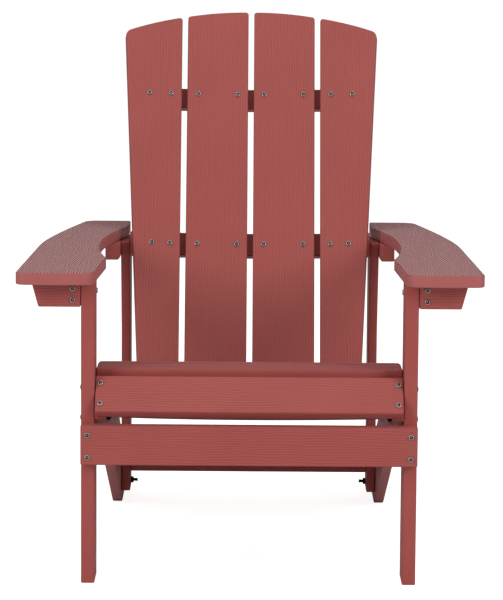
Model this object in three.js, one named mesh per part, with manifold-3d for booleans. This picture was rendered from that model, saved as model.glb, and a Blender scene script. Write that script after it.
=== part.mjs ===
// Adirondack chair of red wood-grain plastic lumber, screwed and bolted together from flat boards.
// Millimetres, +Z up. X runs across the chair and Y from its front to its back. The chair is drawn
// with Y = 0 at the apron's front face and the floor at Z = 0, and the whole group is then moved
// so that the origin lies under the middle of its box. "left" is -X and "right" is +X.
import * as THREE from 'three';
import { mergeVertices } from 'three/addons/utils/BufferGeometryUtils.js';
import Module from 'manifold-3d';

const GAP = 0.3; // clearance between touching pieces
const EASE = 2; // eased edge of every board
const BOARD = 20; // thickness of the slats, apron, arms, brackets and stretcher
const SLAT_WIDTH = 65; // width of a seat slat and of the apron
const RAKE = THREE.MathUtils.degToRad(21.5); // the stringers' slope; the back stands square to it

// Front frame
const SEAT_WIDTH = 500; // between the legs
const LEG_THICK = 22;
const LEG_DEPTH = 75;
const ARM_UNDERSIDE = 494.3; // height of the arms' underside
const APRON_DROP = 8; // from the stringers' noses or the front slat down to the apron
const BRACKET_SET_BACK = 2; // bracket's face behind the apron's back
const BRACKET_REACH = [81, 68.5]; // bracket's length at its top and at its bottom
const BRACKET_TALL = 41;
const FRONT_CLEAT_WIDE = 26;

// Seat
const SEAT_TOP = 348; // height of the first slat's top
const FIRST_SLAT_MIDDLE = 88.5; // its distance from the apron's face
const SEAT_RADIUS = 600; // arc of the side profile, which ends in the straight rake
const SEAT_SLATS = 6;
const SEAT_GAP = 8.5; // between slats, along the profile
const SEAT_TO_BACK = 24; // last slat to the back's face
const SLAT_END_PLAY = 1; // slat end to leg
const FRONT_SLAT_TILT = THREE.MathUtils.degToRad(35); // front slat's lean from upright
const FRONT_SLAT_GAP = 1.5; // front slat to the first seat slat

// Stringers and rear frame
const STRINGER_THICK = 18;
const STRINGER_DEPTH = 119;
const FOOT_REACH = 100; // stringer's end behind the upright
const UPRIGHT = { thick: 16, deep: 75, foot: 31, flareFrom: 330, flare: 45, behindFace: 4 };
const REAR_CLEAT = { ahead: 30, short: 5, wide: 26, tall: 30, chamfer: 4 };
const STRETCHER = { setBack: 10, bottom: 66, tall: 45 };

// Back, in the leaning group's frame: v is the distance up the back from the seat's line
const BACK_RADIUS = 1650; // hollow of the back, from side to side
const BACK_GAP = 10; // between slats
const INNER_SLAT_WIDTH = 110;
const OUTER_SLAT_WIDTH = 71; // at v = 0
const OUTER_SLAT_SPLAY = 0.048; // outer edge's drift per millimetre of v
const BACK_TOP = 715; // v of the arch's crown
const ARCH_RADIUS = 640;
const LOWER_RAIL = { tall: 42, deep: 20, below: 16.5 }; // its foot below the stringers' tops
const MIDDLE_RAIL = { tall: 42, deep: 20, rise: 1 }; // over the arms' underside, at the back's face
const UPPER_RAIL = { tall: 37, deep: 20, v: 554.8, short: 32 }; // short of the slats' outer edges

// Arms: distances across are from the leg's inner face, and positive outwards
const ARM_OVERHANG = 26; // ahead of the apron
const ARM_REACH = 39; // behind the upright
const ARM_WIDTH = 125; // at the front
const ARM_SHOULDER = [111, 365]; // where the outer side starts to curve in
const ARM_WAIST = [106, 491]; // the point that the curve bends about
const ARM_TAIL = 80; // width of the rear end
const ARM_INSIDE = -30.5; // inner side of the rear end
const ARM_INSIDE_LONG = 89; // length of its straight part
const ARM_ELBOW = [-11, 190]; // corner of the inner side
const ARM_HOLLOW = 28; // depth of the curve between those two

// Fasteners
const SCREW = { head: 9, tall: 2.6, shank: 4.2, long: 40, tip: 5, recess: 4, sunk: 1.5 };
const BOLT = { head: 12, tall: 3, shank: 6 };
const NUT = { flats: 10, tall: 5 };
const FRONT_STUD = 3; // bolt end past its nut
const REAR_STUD = 9;
const APRON_SCREWS = { fromTop: 16, fromBottom: 13 };
const FRONT_SLAT_SCREWS = { fromTop: 14, fromNose: 18 }; // along the slat
const BRACKET_SCREWS = { across: 13.5, fromTop: 10.5, fromBottom: 12 };
const LEG_BOLTS = { y: 60, fromTop: 11, fromBottom: 13 };
const CLEAT_SCREW = { fromRear: 22, fromTop: 20 };
const REAR_BOLTS = { behind: 8, low: 14, high: 74 }; // the stretcher, and over the upright's foot
const SIDES = 10; // facets of round fasteners and their holes

const STEPS = 10; // of a long curve
const LUMBER = { color: 0xa5524e, roughness: 0.55, metalness: 0 };
const STEEL = { color: 0xb9b7b3, roughness: 0.3, metalness: 1 };

const legInside = SEAT_WIDTH / 2;
const legOutside = legInside + LEG_THICK;
const legFront = BOARD + GAP;
const legRear = legFront + LEG_DEPTH;
const underArm = ARM_UNDERSIDE - GAP;
const stringerOutside = legInside - GAP;
const stringerInside = stringerOutside - STRINGER_THICK;
const uprightOutside = stringerInside - GAP;
const uprightInside = uprightOutside - UPRIGHT.thick;

const wasm = await Module();
wasm.setup();

const chair = new THREE.Group();

// Adds a named mesh to a group and returns it.
function piece(group, name, geometry, finish) {
  const mesh = new THREE.Mesh(geometry, new THREE.MeshStandardMaterial(finish));
  mesh.name = name;
  group.add(mesh);
  return mesh;
}

// ---- Outlines and boards ----------------------------------------------------------------------

// Points of a circular arc about (x, y), from one angle to another.
function arc(x, y, radius, from, to, steps = STEPS) {
  return Array.from({ length: steps + 1 }, (_, i) => {
    const angle = from + ((to - from) * i) / steps;
    return [x + radius * Math.cos(angle), y + radius * Math.sin(angle)];
  });
}

// Points of the arc from one point to another that bows out to the left of its way by a depth.
function bow(from, to, depth) {
  const [start, end] = [new THREE.Vector2(...from), new THREE.Vector2(...to)];
  const way = end.clone().sub(start);
  const radius = way.lengthSq() / (8 * depth) + depth / 2;
  const left = new THREE.Vector2(-way.y, way.x).normalize();
  const middle = start.add(end).multiplyScalar(0.5).addScaledVector(left, depth - radius);
  const half = Math.asin(way.length() / 2 / radius);
  return arc(middle.x, middle.y, radius, left.angle() + half, left.angle() - half);
}

// A closed outline through [x, y, radius] corners; a corner with a radius is turned by an arc.
function outline(corners) {
  const spot = (i) => new THREE.Vector2(...corners[(i + corners.length) % corners.length]);
  const points = corners.flatMap(([x, y, radius], i) => {
    if (!radius) return [[x, y]];
    const corner = spot(i);
    const back = spot(i - 1).sub(corner).normalize();
    const ahead = spot(i + 1).sub(corner).normalize();
    const half = Math.acos(back.dot(ahead)) / 2;
    const turn = Math.sign(ahead.cross(back)) * (Math.PI - 2 * half);
    const middle = back.clone().add(ahead).setLength(radius / Math.sin(half)).add(corner);
    const start = corner.addScaledVector(back, radius / Math.tan(half)).sub(middle).angle();
    const steps = Math.max(2, Math.ceil((Math.abs(turn) * radius) / 8));
    return arc(middle.x, middle.y, radius, start, start + turn, steps);
  });
  return new THREE.Shape(points.map((point) => new THREE.Vector2(...point)));
}

function rectangle(width, height) {
  const [x, y] = [width / 2, height / 2];
  return outline([[-x, -y, 3], [x, -y, 3], [x, y, 3], [-x, y, 3]]);
}

// A board of this outline in XY, its thickness centred on Z = 0, with eased edges.
function board(shape, thickness) {
  const geometry = new THREE.ExtrudeGeometry(shape, {
    depth: thickness - 2 * EASE,
    bevelThickness: EASE,
    bevelSize: EASE,
    bevelOffset: -EASE,
    bevelSegments: 1,
  });
  return geometry.translate(0, 0, EASE - thickness / 2);
}

// Turns a board drawn in XY so that its outline lies in XZ, as seen from the front.
function facingFront(geometry) {
  return geometry.rotateX(Math.PI / 2);
}

// Turns a board drawn in XY so that its outline lies in YZ, as seen from the side.
function facingSide(geometry) {
  return geometry.rotateX(Math.PI / 2).rotateZ(Math.PI / 2);
}

// ---- Seat profile -----------------------------------------------------------------------------
// The seat's top runs level over the first slat, bends down round SEAT_RADIUS and then goes
// straight at the rake. A place on it is given by its distance from the first slat's middle.

const bendMiddle = SEAT_TOP - SEAT_RADIUS;
const bendLength = SEAT_RADIUS * RAKE;

function seatAt(distance) {
  const angle = Math.min(distance / SEAT_RADIUS, RAKE);
  const beyond = Math.max(distance - bendLength, 0);
  return {
    y: FIRST_SLAT_MIDDLE + SEAT_RADIUS * Math.sin(angle) + beyond * Math.cos(RAKE),
    z: bendMiddle + SEAT_RADIUS * Math.cos(angle) - beyond * Math.sin(RAKE),
    angle,
  };
}

// The stringers' top edges follow the slats' undersides: over the bend, then along a straight
// edge. Their undersides are parallel to that.
const upright90 = Math.PI / 2;
const supportRadius = SEAT_RADIUS - BOARD - GAP;
const support = arc(FIRST_SLAT_MIDDLE, bendMiddle, supportRadius, upright90 - RAKE, upright90);
const topEdge = (y) => support[0][1] - Math.tan(RAKE) * (y - support[0][0]);
const underside = (y) => topEdge(y) - STRINGER_DEPTH / Math.cos(RAKE);
const toe = underside(0) / Math.tan(RAKE);

// Their noses lie against the front slat's back, down to where that line meets the underside.
const frontSlatCorner = FIRST_SLAT_MIDDLE - SLAT_WIDTH / 2 - FRONT_SLAT_GAP;
const noseTop = frontSlatCorner + GAP / Math.cos(FRONT_SLAT_TILT);
const noseHeight = SEAT_TOP - BOARD - underside(noseTop);
const noseFall = noseHeight / (1 + Math.tan(RAKE) * Math.tan(FRONT_SLAT_TILT));
const nose = [noseTop - noseFall * Math.tan(FRONT_SLAT_TILT), SEAT_TOP - BOARD - noseFall];
const frontSlatFoot = SEAT_TOP - BOARD - SLAT_WIDTH * Math.cos(FRONT_SLAT_TILT);
const apronTop = Math.min(nose[1], frontSlatFoot) - APRON_DROP;

// The back's face stands square to the seat's straight part, behind the last slat. The uprights
// reach forward to it under the arms, and the rear frame is placed from them.
const backFoot = seatAt((SEAT_SLATS - 1) * (SLAT_WIDTH + SEAT_GAP) + SLAT_WIDTH / 2 + SEAT_TO_BACK);
const flareTop = backFoot.y + Math.tan(RAKE) * (underArm - backFoot.z) + UPRIGHT.behindFace;
const uprightFront = flareTop + UPRIGHT.flare;
const uprightRear = uprightFront + UPRIGHT.deep;
const stretcherFront = uprightFront + STRETCHER.setBack;
const chairRear = uprightRear + FOOT_REACH;

// ---- Front frame ------------------------------------------------------------------------------

function leg(side) {
  const geometry = facingSide(board(rectangle(LEG_DEPTH, underArm), LEG_THICK));
  const mesh = piece(chair, `leg_${side.name}`, geometry, LUMBER);
  mesh.position.set(side.x * (legInside + LEG_THICK / 2), legFront + LEG_DEPTH / 2, underArm / 2);
  return mesh;
}

function apron() {
  const geometry = facingFront(board(rectangle(2 * legOutside, SLAT_WIDTH), BOARD));
  const mesh = piece(chair, 'apron', geometry, LUMBER);
  mesh.position.set(0, BOARD / 2, apronTop - SLAT_WIDTH / 2);
  return mesh;
}

const bracketFront = legFront + BRACKET_SET_BACK;
const bracketRear = bracketFront + BOARD;

// The bracket props the arm outside the leg, and its outer end slants in towards the bottom.
function armBracket(side) {
  const [top, bottom] = BRACKET_REACH;
  const corners = [[0, 0, 3], [bottom, 0, 5], [top, BRACKET_TALL, 3], [0, BRACKET_TALL, 3]];
  const shape = outline(corners.map(([x, y, radius]) => [side.x * x, y, radius]));
  const mesh = piece(chair, `arm_bracket_${side.name}`, facingFront(board(shape, BOARD)), LUMBER);
  mesh.position.set(side.x * (legOutside + GAP), bracketRear - BOARD / 2, underArm - BRACKET_TALL);
  return mesh;
}

// The cleat behind the bracket lies along the leg, under the arm.
function frontCleat(side) {
  const long = legRear - bracketRear - GAP;
  const geometry = facingSide(board(rectangle(long, BRACKET_TALL), FRONT_CLEAT_WIDE));
  const mesh = piece(chair, `front_cleat_${side.name}`, geometry, LUMBER);
  const x = side.x * (legOutside + GAP + FRONT_CLEAT_WIDE / 2);
  mesh.position.set(x, legRear - long / 2, underArm - BRACKET_TALL / 2);
  return mesh;
}

// ---- Stringers: seat rail and rear foot in one board ------------------------------------------

function stringer(side) {
  const shape = outline([
    [toe, 0, 6],
    [chairRear, 0, 4],
    [chairRear, topEdge(chairRear), 8],
    ...support,
    [noseTop, SEAT_TOP - BOARD - GAP, 3],
    [...nose, 6],
  ]);
  const geometry = facingSide(board(shape, STRINGER_THICK));
  const mesh = piece(chair, `stringer_${side.name}`, geometry, LUMBER);
  mesh.position.x = side.x * (stringerOutside - STRINGER_THICK / 2);
  return mesh;
}

// ---- Rear frame -------------------------------------------------------------------------------

// The upright stands inside the stringer, and its front edge flares forward under the arm.
function upright(side) {
  const shape = outline([
    [uprightFront, UPRIGHT.foot, 3],
    [uprightRear, UPRIGHT.foot, 3],
    [uprightRear, underArm, 3],
    [flareTop, underArm, 3],
    [uprightFront, UPRIGHT.flareFrom, 60],
  ]);
  const geometry = facingSide(board(shape, UPRIGHT.thick));
  const mesh = piece(chair, `upright_${side.name}`, geometry, LUMBER);
  mesh.position.x = side.x * (uprightOutside - UPRIGHT.thick / 2);
  return mesh;
}

// The cleat joins the upright to the arm, and its lower inner edge is chamfered.
function rearCleat(side) {
  const { wide, tall, chamfer } = REAR_CLEAT;
  const [front, rear] = [flareTop - REAR_CLEAT.ahead, uprightRear - REAR_CLEAT.short];
  const corners = [[chamfer, tall], [wide, tall, 3], [wide, 0, 3], [0, 0, 3], [0, tall - chamfer]];
  const shape = outline(corners.map(([x, y, radius]) => [side.x * x, -y, radius]));
  const geometry = facingFront(board(shape, rear - front));
  const mesh = piece(chair, `rear_cleat_${side.name}`, geometry, LUMBER);
  mesh.position.set(side.x * (uprightOutside + GAP), (front + rear) / 2, underArm);
  return mesh;
}

function stretcher() {
  const geometry = facingFront(board(rectangle(2 * (uprightInside - GAP), STRETCHER.tall), BOARD));
  const mesh = piece(chair, 'rear_stretcher', geometry, LUMBER);
  mesh.position.set(0, stretcherFront + BOARD / 2, STRETCHER.bottom + STRETCHER.tall / 2);
  return mesh;
}

// ---- Seat slats -------------------------------------------------------------------------------

const slatLong = SEAT_WIDTH - 2 * SLAT_END_PLAY;

function seatSlat(number) {
  const { y, z, angle } = seatAt((number - 1) * (SLAT_WIDTH + SEAT_GAP));
  const geometry = board(rectangle(slatLong, SLAT_WIDTH), BOARD).translate(0, 0, -BOARD / 2);
  const mesh = piece(chair, `seat_slat_${number}`, geometry, LUMBER);
  mesh.position.set(0, y, z);
  mesh.rotation.x = -angle;
  return mesh;
}

// The front slat hangs down from the seat's front edge and covers the stringers' noses.
function frontSlat() {
  const geometry = board(rectangle(slatLong, SLAT_WIDTH), BOARD);
  const mesh = piece(chair, 'seat_front_slat', geometry.translate(0, -SLAT_WIDTH / 2, BOARD / 2), LUMBER);
  mesh.position.set(0, frontSlatCorner, SEAT_TOP - BOARD);
  mesh.rotation.x = Math.PI / 2 - FRONT_SLAT_TILT;
  return mesh;
}

// ---- Back: four slats on three hollow rails ---------------------------------------------------

// Leans with the back: X across, Y back from its face and Z (v) up it.
const back = new THREE.Group();
back.position.set(0, backFoot.y, backFoot.z);
back.rotation.x = -RAKE;
chair.add(back);

// v of the slats' lower ends, which are flush with the lower rail's foot.
const backBottom = -BOARD - LOWER_RAIL.below;

// v of the arch over the slats' upper ends, at a distance across.
const archAt = (x) => BACK_TOP - ARCH_RADIUS + Math.sqrt(ARCH_RADIUS ** 2 - x ** 2);

// A slat set square to the hollow's radius at its own middle. Its inner edge is straight, and its
// outer edge may drift outwards by the splay.
function backSlat(name, side, inner, width, splay, corner) {
  const angle = (inner + width / 2) / BACK_RADIUS;
  const [middle, lean] = [BACK_RADIUS * Math.sin(angle), Math.cos(angle)];
  const arch = (x) => [x, archAt(middle + x * lean)];
  const near = -width / 2;
  const far = (v) => width / 2 + splay * v;
  const crown = arch(far(archAt(middle + far(BACK_TOP) * lean)));
  const shape = outline([
    [near, backBottom, 3],
    [far(backBottom), backBottom, 3],
    [...crown, corner],
    ...[0.25, 0.4, 0.55, 0.7, 0.85].map((part) => arch(crown[0] + (near - crown[0]) * part)),
    [...arch(near), 5],
  ].map(([x, y, radius]) => [side.x * x, y, radius]));
  const geometry = facingFront(board(shape, BOARD)).translate(0, BOARD / 2, 0);
  const mesh = piece(back, `back_slat_${name}_${side.name}`, geometry, LUMBER);
  mesh.position.set(side.x * middle, BACK_RADIUS * (lean - 1), 0);
  mesh.rotation.z = -side.x * angle;
  return mesh;
}

// A rail behind the slats, with its face hollowed to clear their back edges.
function backRail(name, half, v, { tall, deep }) {
  const face = Math.hypot(BACK_RADIUS + BOARD, INNER_SLAT_WIDTH / 2) + GAP;
  const rear = face + deep;
  const curve = (radius) => {
    const spread = Math.asin(half / radius);
    return arc(0, -BACK_RADIUS, radius, upright90 - spread, upright90 + spread);
  };
  const round = ([x, y], i, all) => [x, y, i === 0 || i === all.length - 1 ? 3 : 0];
  const shape = outline([...curve(rear).map(round), ...curve(face).reverse().map(round)]);
  const mesh = piece(back, `back_rail_${name}`, board(shape, tall), LUMBER);
  mesh.position.z = v;
  return mesh;
}

// The lower rail reaches down between the stringers, whose top edges are square to the back. The
// middle one lies between the uprights and the upper one is shorter than the slats are wide.
const outerStart = 1.5 * BACK_GAP + INNER_SLAT_WIDTH;
const lowerRailV = backBottom + LOWER_RAIL.tall / 2;
const middleRailV = (underArm + MIDDLE_RAIL.rise - backFoot.z) / Math.cos(RAKE);
const upperRailEdge = outerStart + OUTER_SLAT_WIDTH + OUTER_SLAT_SPLAY * UPPER_RAIL.v;

// ---- Arms -------------------------------------------------------------------------------------

function arm(side) {
  const armRear = uprightRear + ARM_REACH;
  const rearOutside = [ARM_INSIDE + ARM_TAIL, armRear];
  const [shoulder, waist, tail] = [ARM_SHOULDER, ARM_WAIST, rearOutside].map(
    (point) => new THREE.Vector2(...point),
  );
  const outer = new THREE.QuadraticBezierCurve(shoulder, waist, tail).getPoints(STEPS);
  const corners = [
    [0, -ARM_OVERHANG, 22],
    [ARM_WIDTH, -ARM_OVERHANG, 15],
    ...outer.slice(0, -1).map((point) => [point.x, point.y]),
    [...rearOutside, 25],
    [ARM_INSIDE, armRear, 4],
    ...bow([ARM_INSIDE, armRear - ARM_INSIDE_LONG], ARM_ELBOW, ARM_HOLLOW),
  ];
  const shape = outline(corners.map(([x, y, radius]) => [side.x * (legInside + x), y, radius]));
  const mesh = piece(chair, `arm_${side.name}`, board(shape, BOARD), LUMBER);
  mesh.position.z = ARM_UNDERSIDE + BOARD / 2;
  return mesh;
}

// ---- Fasteners --------------------------------------------------------------------------------
// Drawn along Z with the head's underside at Z = 0 and the shank below it.

function turned(profile) {
  const points = profile.map((point) => new THREE.Vector2(...point));
  return new THREE.LatheGeometry(points, SIDES).rotateX(Math.PI / 2);
}

function rod(radius, bottom, top, sides = SIDES) {
  const geometry = new THREE.CylinderGeometry(radius, radius, top - bottom, sides);
  return geometry.rotateX(Math.PI / 2).translate(0, 0, (top + bottom) / 2);
}

function toSolid(geometry) {
  const bare = geometry.clone();
  bare.deleteAttribute('normal');
  bare.deleteAttribute('uv');
  const merged = mergeVertices(bare, 1e-4);
  const vertProperties = new Float32Array(merged.attributes.position.array);
  const triVerts = new Uint32Array(merged.index.array);
  return new wasm.Manifold(new wasm.Mesh({ numProp: 3, vertProperties, triVerts }));
}

// The first geometry less the second.
function cut(geometry, tool) {
  const { vertProperties, triVerts } = toSolid(geometry).subtract(toSolid(tool)).getMesh();
  const result = new THREE.BufferGeometry();
  result.setAttribute('position', new THREE.BufferAttribute(vertProperties, 3));
  result.setIndex(new THREE.BufferAttribute(triVerts, 1));
  result.computeVertexNormals();
  return result;
}

// A pan-head screw with a hexagonal recess and a pointed end.
function screwGeometry() {
  const [head, shank] = [SCREW.head / 2, SCREW.shank / 2];
  const body = turned([
    [0, -SCREW.long],
    [shank, SCREW.tip - SCREW.long],
    [shank, 0],
    [head, 0],
    [head, SCREW.tall * 0.4],
    [head * 0.75, SCREW.tall * 0.85],
    [head * 0.5, SCREW.tall],
    [0, SCREW.tall],
  ]);
  return cut(body, rod(SCREW.recess / 2, SCREW.tall - SCREW.sunk, SCREW.tall + 1, 6));
}

// A domed bolt with a plain end.
function boltGeometry(long) {
  const [head, shank] = [BOLT.head / 2, BOLT.shank / 2];
  const dome = arc(0, 0, 1, 0, Math.PI / 2, 4).map(([x, y]) => [head * x, BOLT.tall * y]);
  return turned([[0, -long], [shank, -long], [shank, 0], ...dome.slice(0, -1), [0, BOLT.tall]]);
}

// A hexagon nut below Z = 0, bored to clear its bolt.
function nutGeometry() {
  const hexagon = outline(arc(0, 0, NUT.flats / Math.sqrt(3), 0, 2 * Math.PI, 6).slice(1));
  hexagon.holes.push(outline(arc(0, 0, BOLT.shank / 2 + GAP, 0, 2 * Math.PI, SIDES).slice(1)));
  const geometry = new THREE.ExtrudeGeometry(hexagon, { depth: NUT.tall, bevelEnabled: false });
  return geometry.translate(0, 0, -NUT.tall);
}

// Sets a fastener's head GAP off the surface at a place, with its axis outwards, and opens a
// clearance hole for its shank in each board that it passes.
function fasten(name, geometry, shank, long, place, outward, boards) {
  const mesh = piece(chair, name, geometry, STEEL);
  mesh.position.copy(place).addScaledVector(outward, GAP);
  mesh.quaternion.setFromUnitVectors(new THREE.Vector3(0, 0, 1), outward);
  chair.updateMatrixWorld(true);
  for (const passed of boards) {
    const hole = rod(shank / 2 + GAP, -long - 1, 1).applyMatrix4(mesh.matrixWorld);
    hole.applyMatrix4(passed.matrixWorld.clone().invert());
    passed.geometry = cut(passed.geometry, hole);
  }
}

function screw(name, place, outward, boards) {
  fasten(name, screwGeometry(), SCREW.shank, SCREW.long, place, outward, boards);
}

// A bolt through boards of a total grip, with its nut on their far side.
function bolt(name, place, outward, boards, grip, stud) {
  const long = grip + NUT.tall + stud;
  fasten(name, boltGeometry(long), BOLT.shank, long, place, outward, boards);
  const nut = piece(chair, `${name}_nut`, nutGeometry(), STEEL);
  nut.position.copy(place).addScaledVector(outward, -grip - GAP);
  nut.quaternion.setFromUnitVectors(new THREE.Vector3(0, 0, 1), outward);
}

// ---- Assembly ---------------------------------------------------------------------------------

const sides = [{ name: 'left', x: -1 }, { name: 'right', x: 1 }];
const forward = new THREE.Vector3(0, -1, 0);

const apronBoard = apron();
const frontSlatBoard = frontSlat();
for (let number = 1; number <= SEAT_SLATS; number += 1) seatSlat(number);
stretcher();
backRail('lower', stringerInside - GAP, lowerRailV, LOWER_RAIL);
backRail('middle', uprightInside - GAP, middleRailV, MIDDLE_RAIL);
backRail('upper', upperRailEdge - UPPER_RAIL.short, UPPER_RAIL.v, UPPER_RAIL);

for (const side of sides) {
  const legBoard = leg(side);
  const stringerBoard = stringer(side);
  const uprightBoard = upright(side);
  const bracketBoard = armBracket(side);
  const frontCleatBoard = frontCleat(side);
  rearCleat(side);
  arm(side);
  backSlat('inner', side, BACK_GAP / 2, INNER_SLAT_WIDTH, 0, 5);
  backSlat('outer', side, outerStart, OUTER_SLAT_WIDTH, OUTER_SLAT_SPLAY, 14);

  const outwards = new THREE.Vector3(side.x, 0, 0);
  const at = (x, y, z) => new THREE.Vector3(side.x * x, y, z);
  const legMiddle = legInside + LEG_THICK / 2;
  const stringerMiddle = stringerOutside - STRINGER_THICK / 2;

  const apronScrews = {
    upper: apronTop - APRON_SCREWS.fromTop,
    lower: apronTop - SLAT_WIDTH + APRON_SCREWS.fromBottom,
  };
  for (const [level, z] of Object.entries(apronScrews)) {
    screw(`apron_screw_${level}_${side.name}`, at(legMiddle, 0, z), forward, [apronBoard, legBoard]);
  }

  const slatFace = new THREE.Vector3(0, 0, 1).applyQuaternion(frontSlatBoard.quaternion);
  const slatScrews = {
    upper: FRONT_SLAT_SCREWS.fromTop,
    lower: noseFall / Math.cos(FRONT_SLAT_TILT) - FRONT_SLAT_SCREWS.fromNose,
  };
  for (const [level, fall] of Object.entries(slatScrews)) {
    const place = at(stringerMiddle, -fall, BOARD);
    frontSlatBoard.localToWorld(place);
    const boards = [frontSlatBoard, stringerBoard];
    screw(`front_slat_screw_${level}_${side.name}`, place, slatFace, boards);
  }

  const bracketScrews = {
    upper: underArm - BRACKET_SCREWS.fromTop,
    lower: underArm - BRACKET_TALL + BRACKET_SCREWS.fromBottom,
  };
  for (const [level, z] of Object.entries(bracketScrews)) {
    const place = at(legOutside + BRACKET_SCREWS.across, bracketFront, z);
    const boards = [bracketBoard, frontCleatBoard];
    screw(`bracket_screw_${level}_${side.name}`, place, forward, boards);
  }

  const cleatPlace = at(legInside, legRear - CLEAT_SCREW.fromRear, underArm - CLEAT_SCREW.fromTop);
  const inwards = outwards.clone().negate();
  screw(`cleat_screw_${side.name}`, cleatPlace, inwards, [legBoard, frontCleatBoard]);

  const legBolts = {
    upper: SEAT_TOP - BOARD - LEG_BOLTS.fromTop,
    lower: underside(LEG_BOLTS.y) + LEG_BOLTS.fromBottom,
  };
  for (const [level, z] of Object.entries(legBolts)) {
    const place = at(legOutside, LEG_BOLTS.y, z);
    const boards = [legBoard, stringerBoard];
    const grip = legOutside - stringerInside;
    bolt(`leg_bolt_${level}_${side.name}`, place, outwards, boards, grip, FRONT_STUD);
  }

  const rearBolts = { upper: UPRIGHT.foot + REAR_BOLTS.high, lower: UPRIGHT.foot + REAR_BOLTS.low };
  for (const [level, z] of Object.entries(rearBolts)) {
    const place = at(stringerOutside, stretcherFront + BOARD + REAR_BOLTS.behind, z);
    const boards = [stringerBoard, uprightBoard];
    const grip = stringerOutside - uprightInside;
    bolt(`rear_bolt_${level}_${side.name}`, place, outwards, boards, grip, REAR_STUD);
  }
}

chair.position.y = (ARM_OVERHANG - chairRear) / 2;

export default chair;
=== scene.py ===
import math

import bpy
import numpy as np
from mathutils import Matrix, Vector


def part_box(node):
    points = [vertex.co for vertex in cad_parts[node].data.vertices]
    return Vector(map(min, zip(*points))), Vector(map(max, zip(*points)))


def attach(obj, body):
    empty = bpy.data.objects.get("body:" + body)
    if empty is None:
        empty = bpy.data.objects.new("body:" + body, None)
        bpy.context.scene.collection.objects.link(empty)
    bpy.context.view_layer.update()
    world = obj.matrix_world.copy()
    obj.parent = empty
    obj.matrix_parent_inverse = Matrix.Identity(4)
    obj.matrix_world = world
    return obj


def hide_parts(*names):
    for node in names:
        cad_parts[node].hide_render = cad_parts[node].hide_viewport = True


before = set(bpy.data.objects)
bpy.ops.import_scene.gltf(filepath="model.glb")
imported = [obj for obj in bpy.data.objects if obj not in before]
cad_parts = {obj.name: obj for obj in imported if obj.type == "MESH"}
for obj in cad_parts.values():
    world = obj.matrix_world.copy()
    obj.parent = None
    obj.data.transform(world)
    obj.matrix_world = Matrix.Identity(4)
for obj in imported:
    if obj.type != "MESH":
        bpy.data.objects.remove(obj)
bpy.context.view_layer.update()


# ---- Studio ------------------------------------------------------------------------------
# A pale seamless floor under a soft white surround. Two soft boxes stand in front to either
# side and a broad one hangs above, so the faces turned forward and up are the brightest.


def srgb(code):
    """A hex colour made linear: c / 12.92 below 0.04045, else ((c + 0.055) / 1.055) ^ 2.4."""
    values = np.array([int(code[i : i + 2], 16) / 255 for i in (1, 3, 5)])
    linear = np.where(values < 0.04045, values / 12.92, ((values + 0.055) / 1.055) ** 2.4)
    return (*linear.tolist(), 1.0)


def new_material(name):
    """A new material, with its node tree and its Principled shader."""
    material = bpy.data.materials.new(name)
    material.use_nodes = True
    return material, material.node_tree, material.node_tree.nodes["Principled BSDF"]


# Matt white emulsion on the floor has no shine, so it shows no reflection of the chair.
FLOOR_HALF = 20.0
floor_mesh = bpy.data.meshes.new("floor")
square = np.array([[-1, -1, 0], [1, -1, 0], [1, 1, 0], [-1, 1, 0]]) * FLOOR_HALF
floor_mesh.from_pydata(square.tolist(), [], [(0, 1, 2, 3)])
floor = bpy.data.objects.new("floor", floor_mesh)
bpy.context.scene.collection.objects.link(floor)
floor_paint, floor_tree, shader = new_material("matt_white_floor_paint")
shader.inputs["Base Color"].default_value = srgb("#FAF9F8")
shader.inputs["Roughness"].default_value = 0.9
shader.inputs["Specular IOR Level"].default_value = 0.1
floor_mesh.materials.append(floor_paint)

world = bpy.data.worlds.new("white_surround")
bpy.context.scene.world = world
world.use_nodes = True


def add(tree, kind, settings, **links):
    """Adds a shader node, sets its properties or inputs, and links its named inputs. An input
    that is named by a number is written with an i in front."""
    node = tree.nodes.new(kind)
    for key, value in settings.items():
        if isinstance(key, str) and hasattr(node, key):
            setattr(node, key, value)
        else:
            node.inputs[key].default_value = value
    for key, output in links.items():
        name = int(key[1:]) if key[1:].isdigit() else key.replace("_", " ")
        tree.links.new(output, node.inputs[name])
    return node


# The surround and the floor are seen as white and light the chair dimly, as a white cyclorama
# does that has its own lamps.
DIM = 0.22
WHITE = 1.05
sky = world.node_tree
seen = add(sky, "ShaderNodeLightPath", {})
white = add(sky, "ShaderNodeBackground", {"Color": (1.0, 1.0, 1.0, 1.0), "Strength": WHITE})
dim = sky.nodes["Background"]
dim.inputs["Color"].default_value = (1.0, 1.0, 1.0, 1.0)
dim.inputs["Strength"].default_value = DIM
surround = add(
    sky, "ShaderNodeMixShader", {}, i0=seen.outputs["Is Camera Ray"], i1=dim.outputs[0],
    i2=white.outputs[0],
)
sky.links.new(surround.outputs[0], sky.nodes["World Output"].inputs["Surface"])
seen = add(floor_tree, "ShaderNodeLightPath", {})
lift = add(
    floor_tree, "ShaderNodeMath", {"operation": "MULTIPLY", 1: WHITE - DIM},
    i0=seen.outputs["Is Camera Ray"],
)
floor_tree.links.new(lift.outputs[0], shader.inputs["Emission Strength"])
shader.inputs["Emission Color"].default_value = (1.0, 1.0, 1.0, 1.0)


def soft_box(name, place, target, size, power):
    """A square area light at a place, turned to face a target."""
    light = bpy.data.lights.new(name, "AREA")
    light.size = size
    light.energy = power
    lamp = bpy.data.objects.new(name, light)
    lamp.location = place
    lamp.rotation_euler = (Vector(target) - Vector(place)).to_track_quat("-Z", "Y").to_euler()
    bpy.context.scene.collection.objects.link(lamp)


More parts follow.
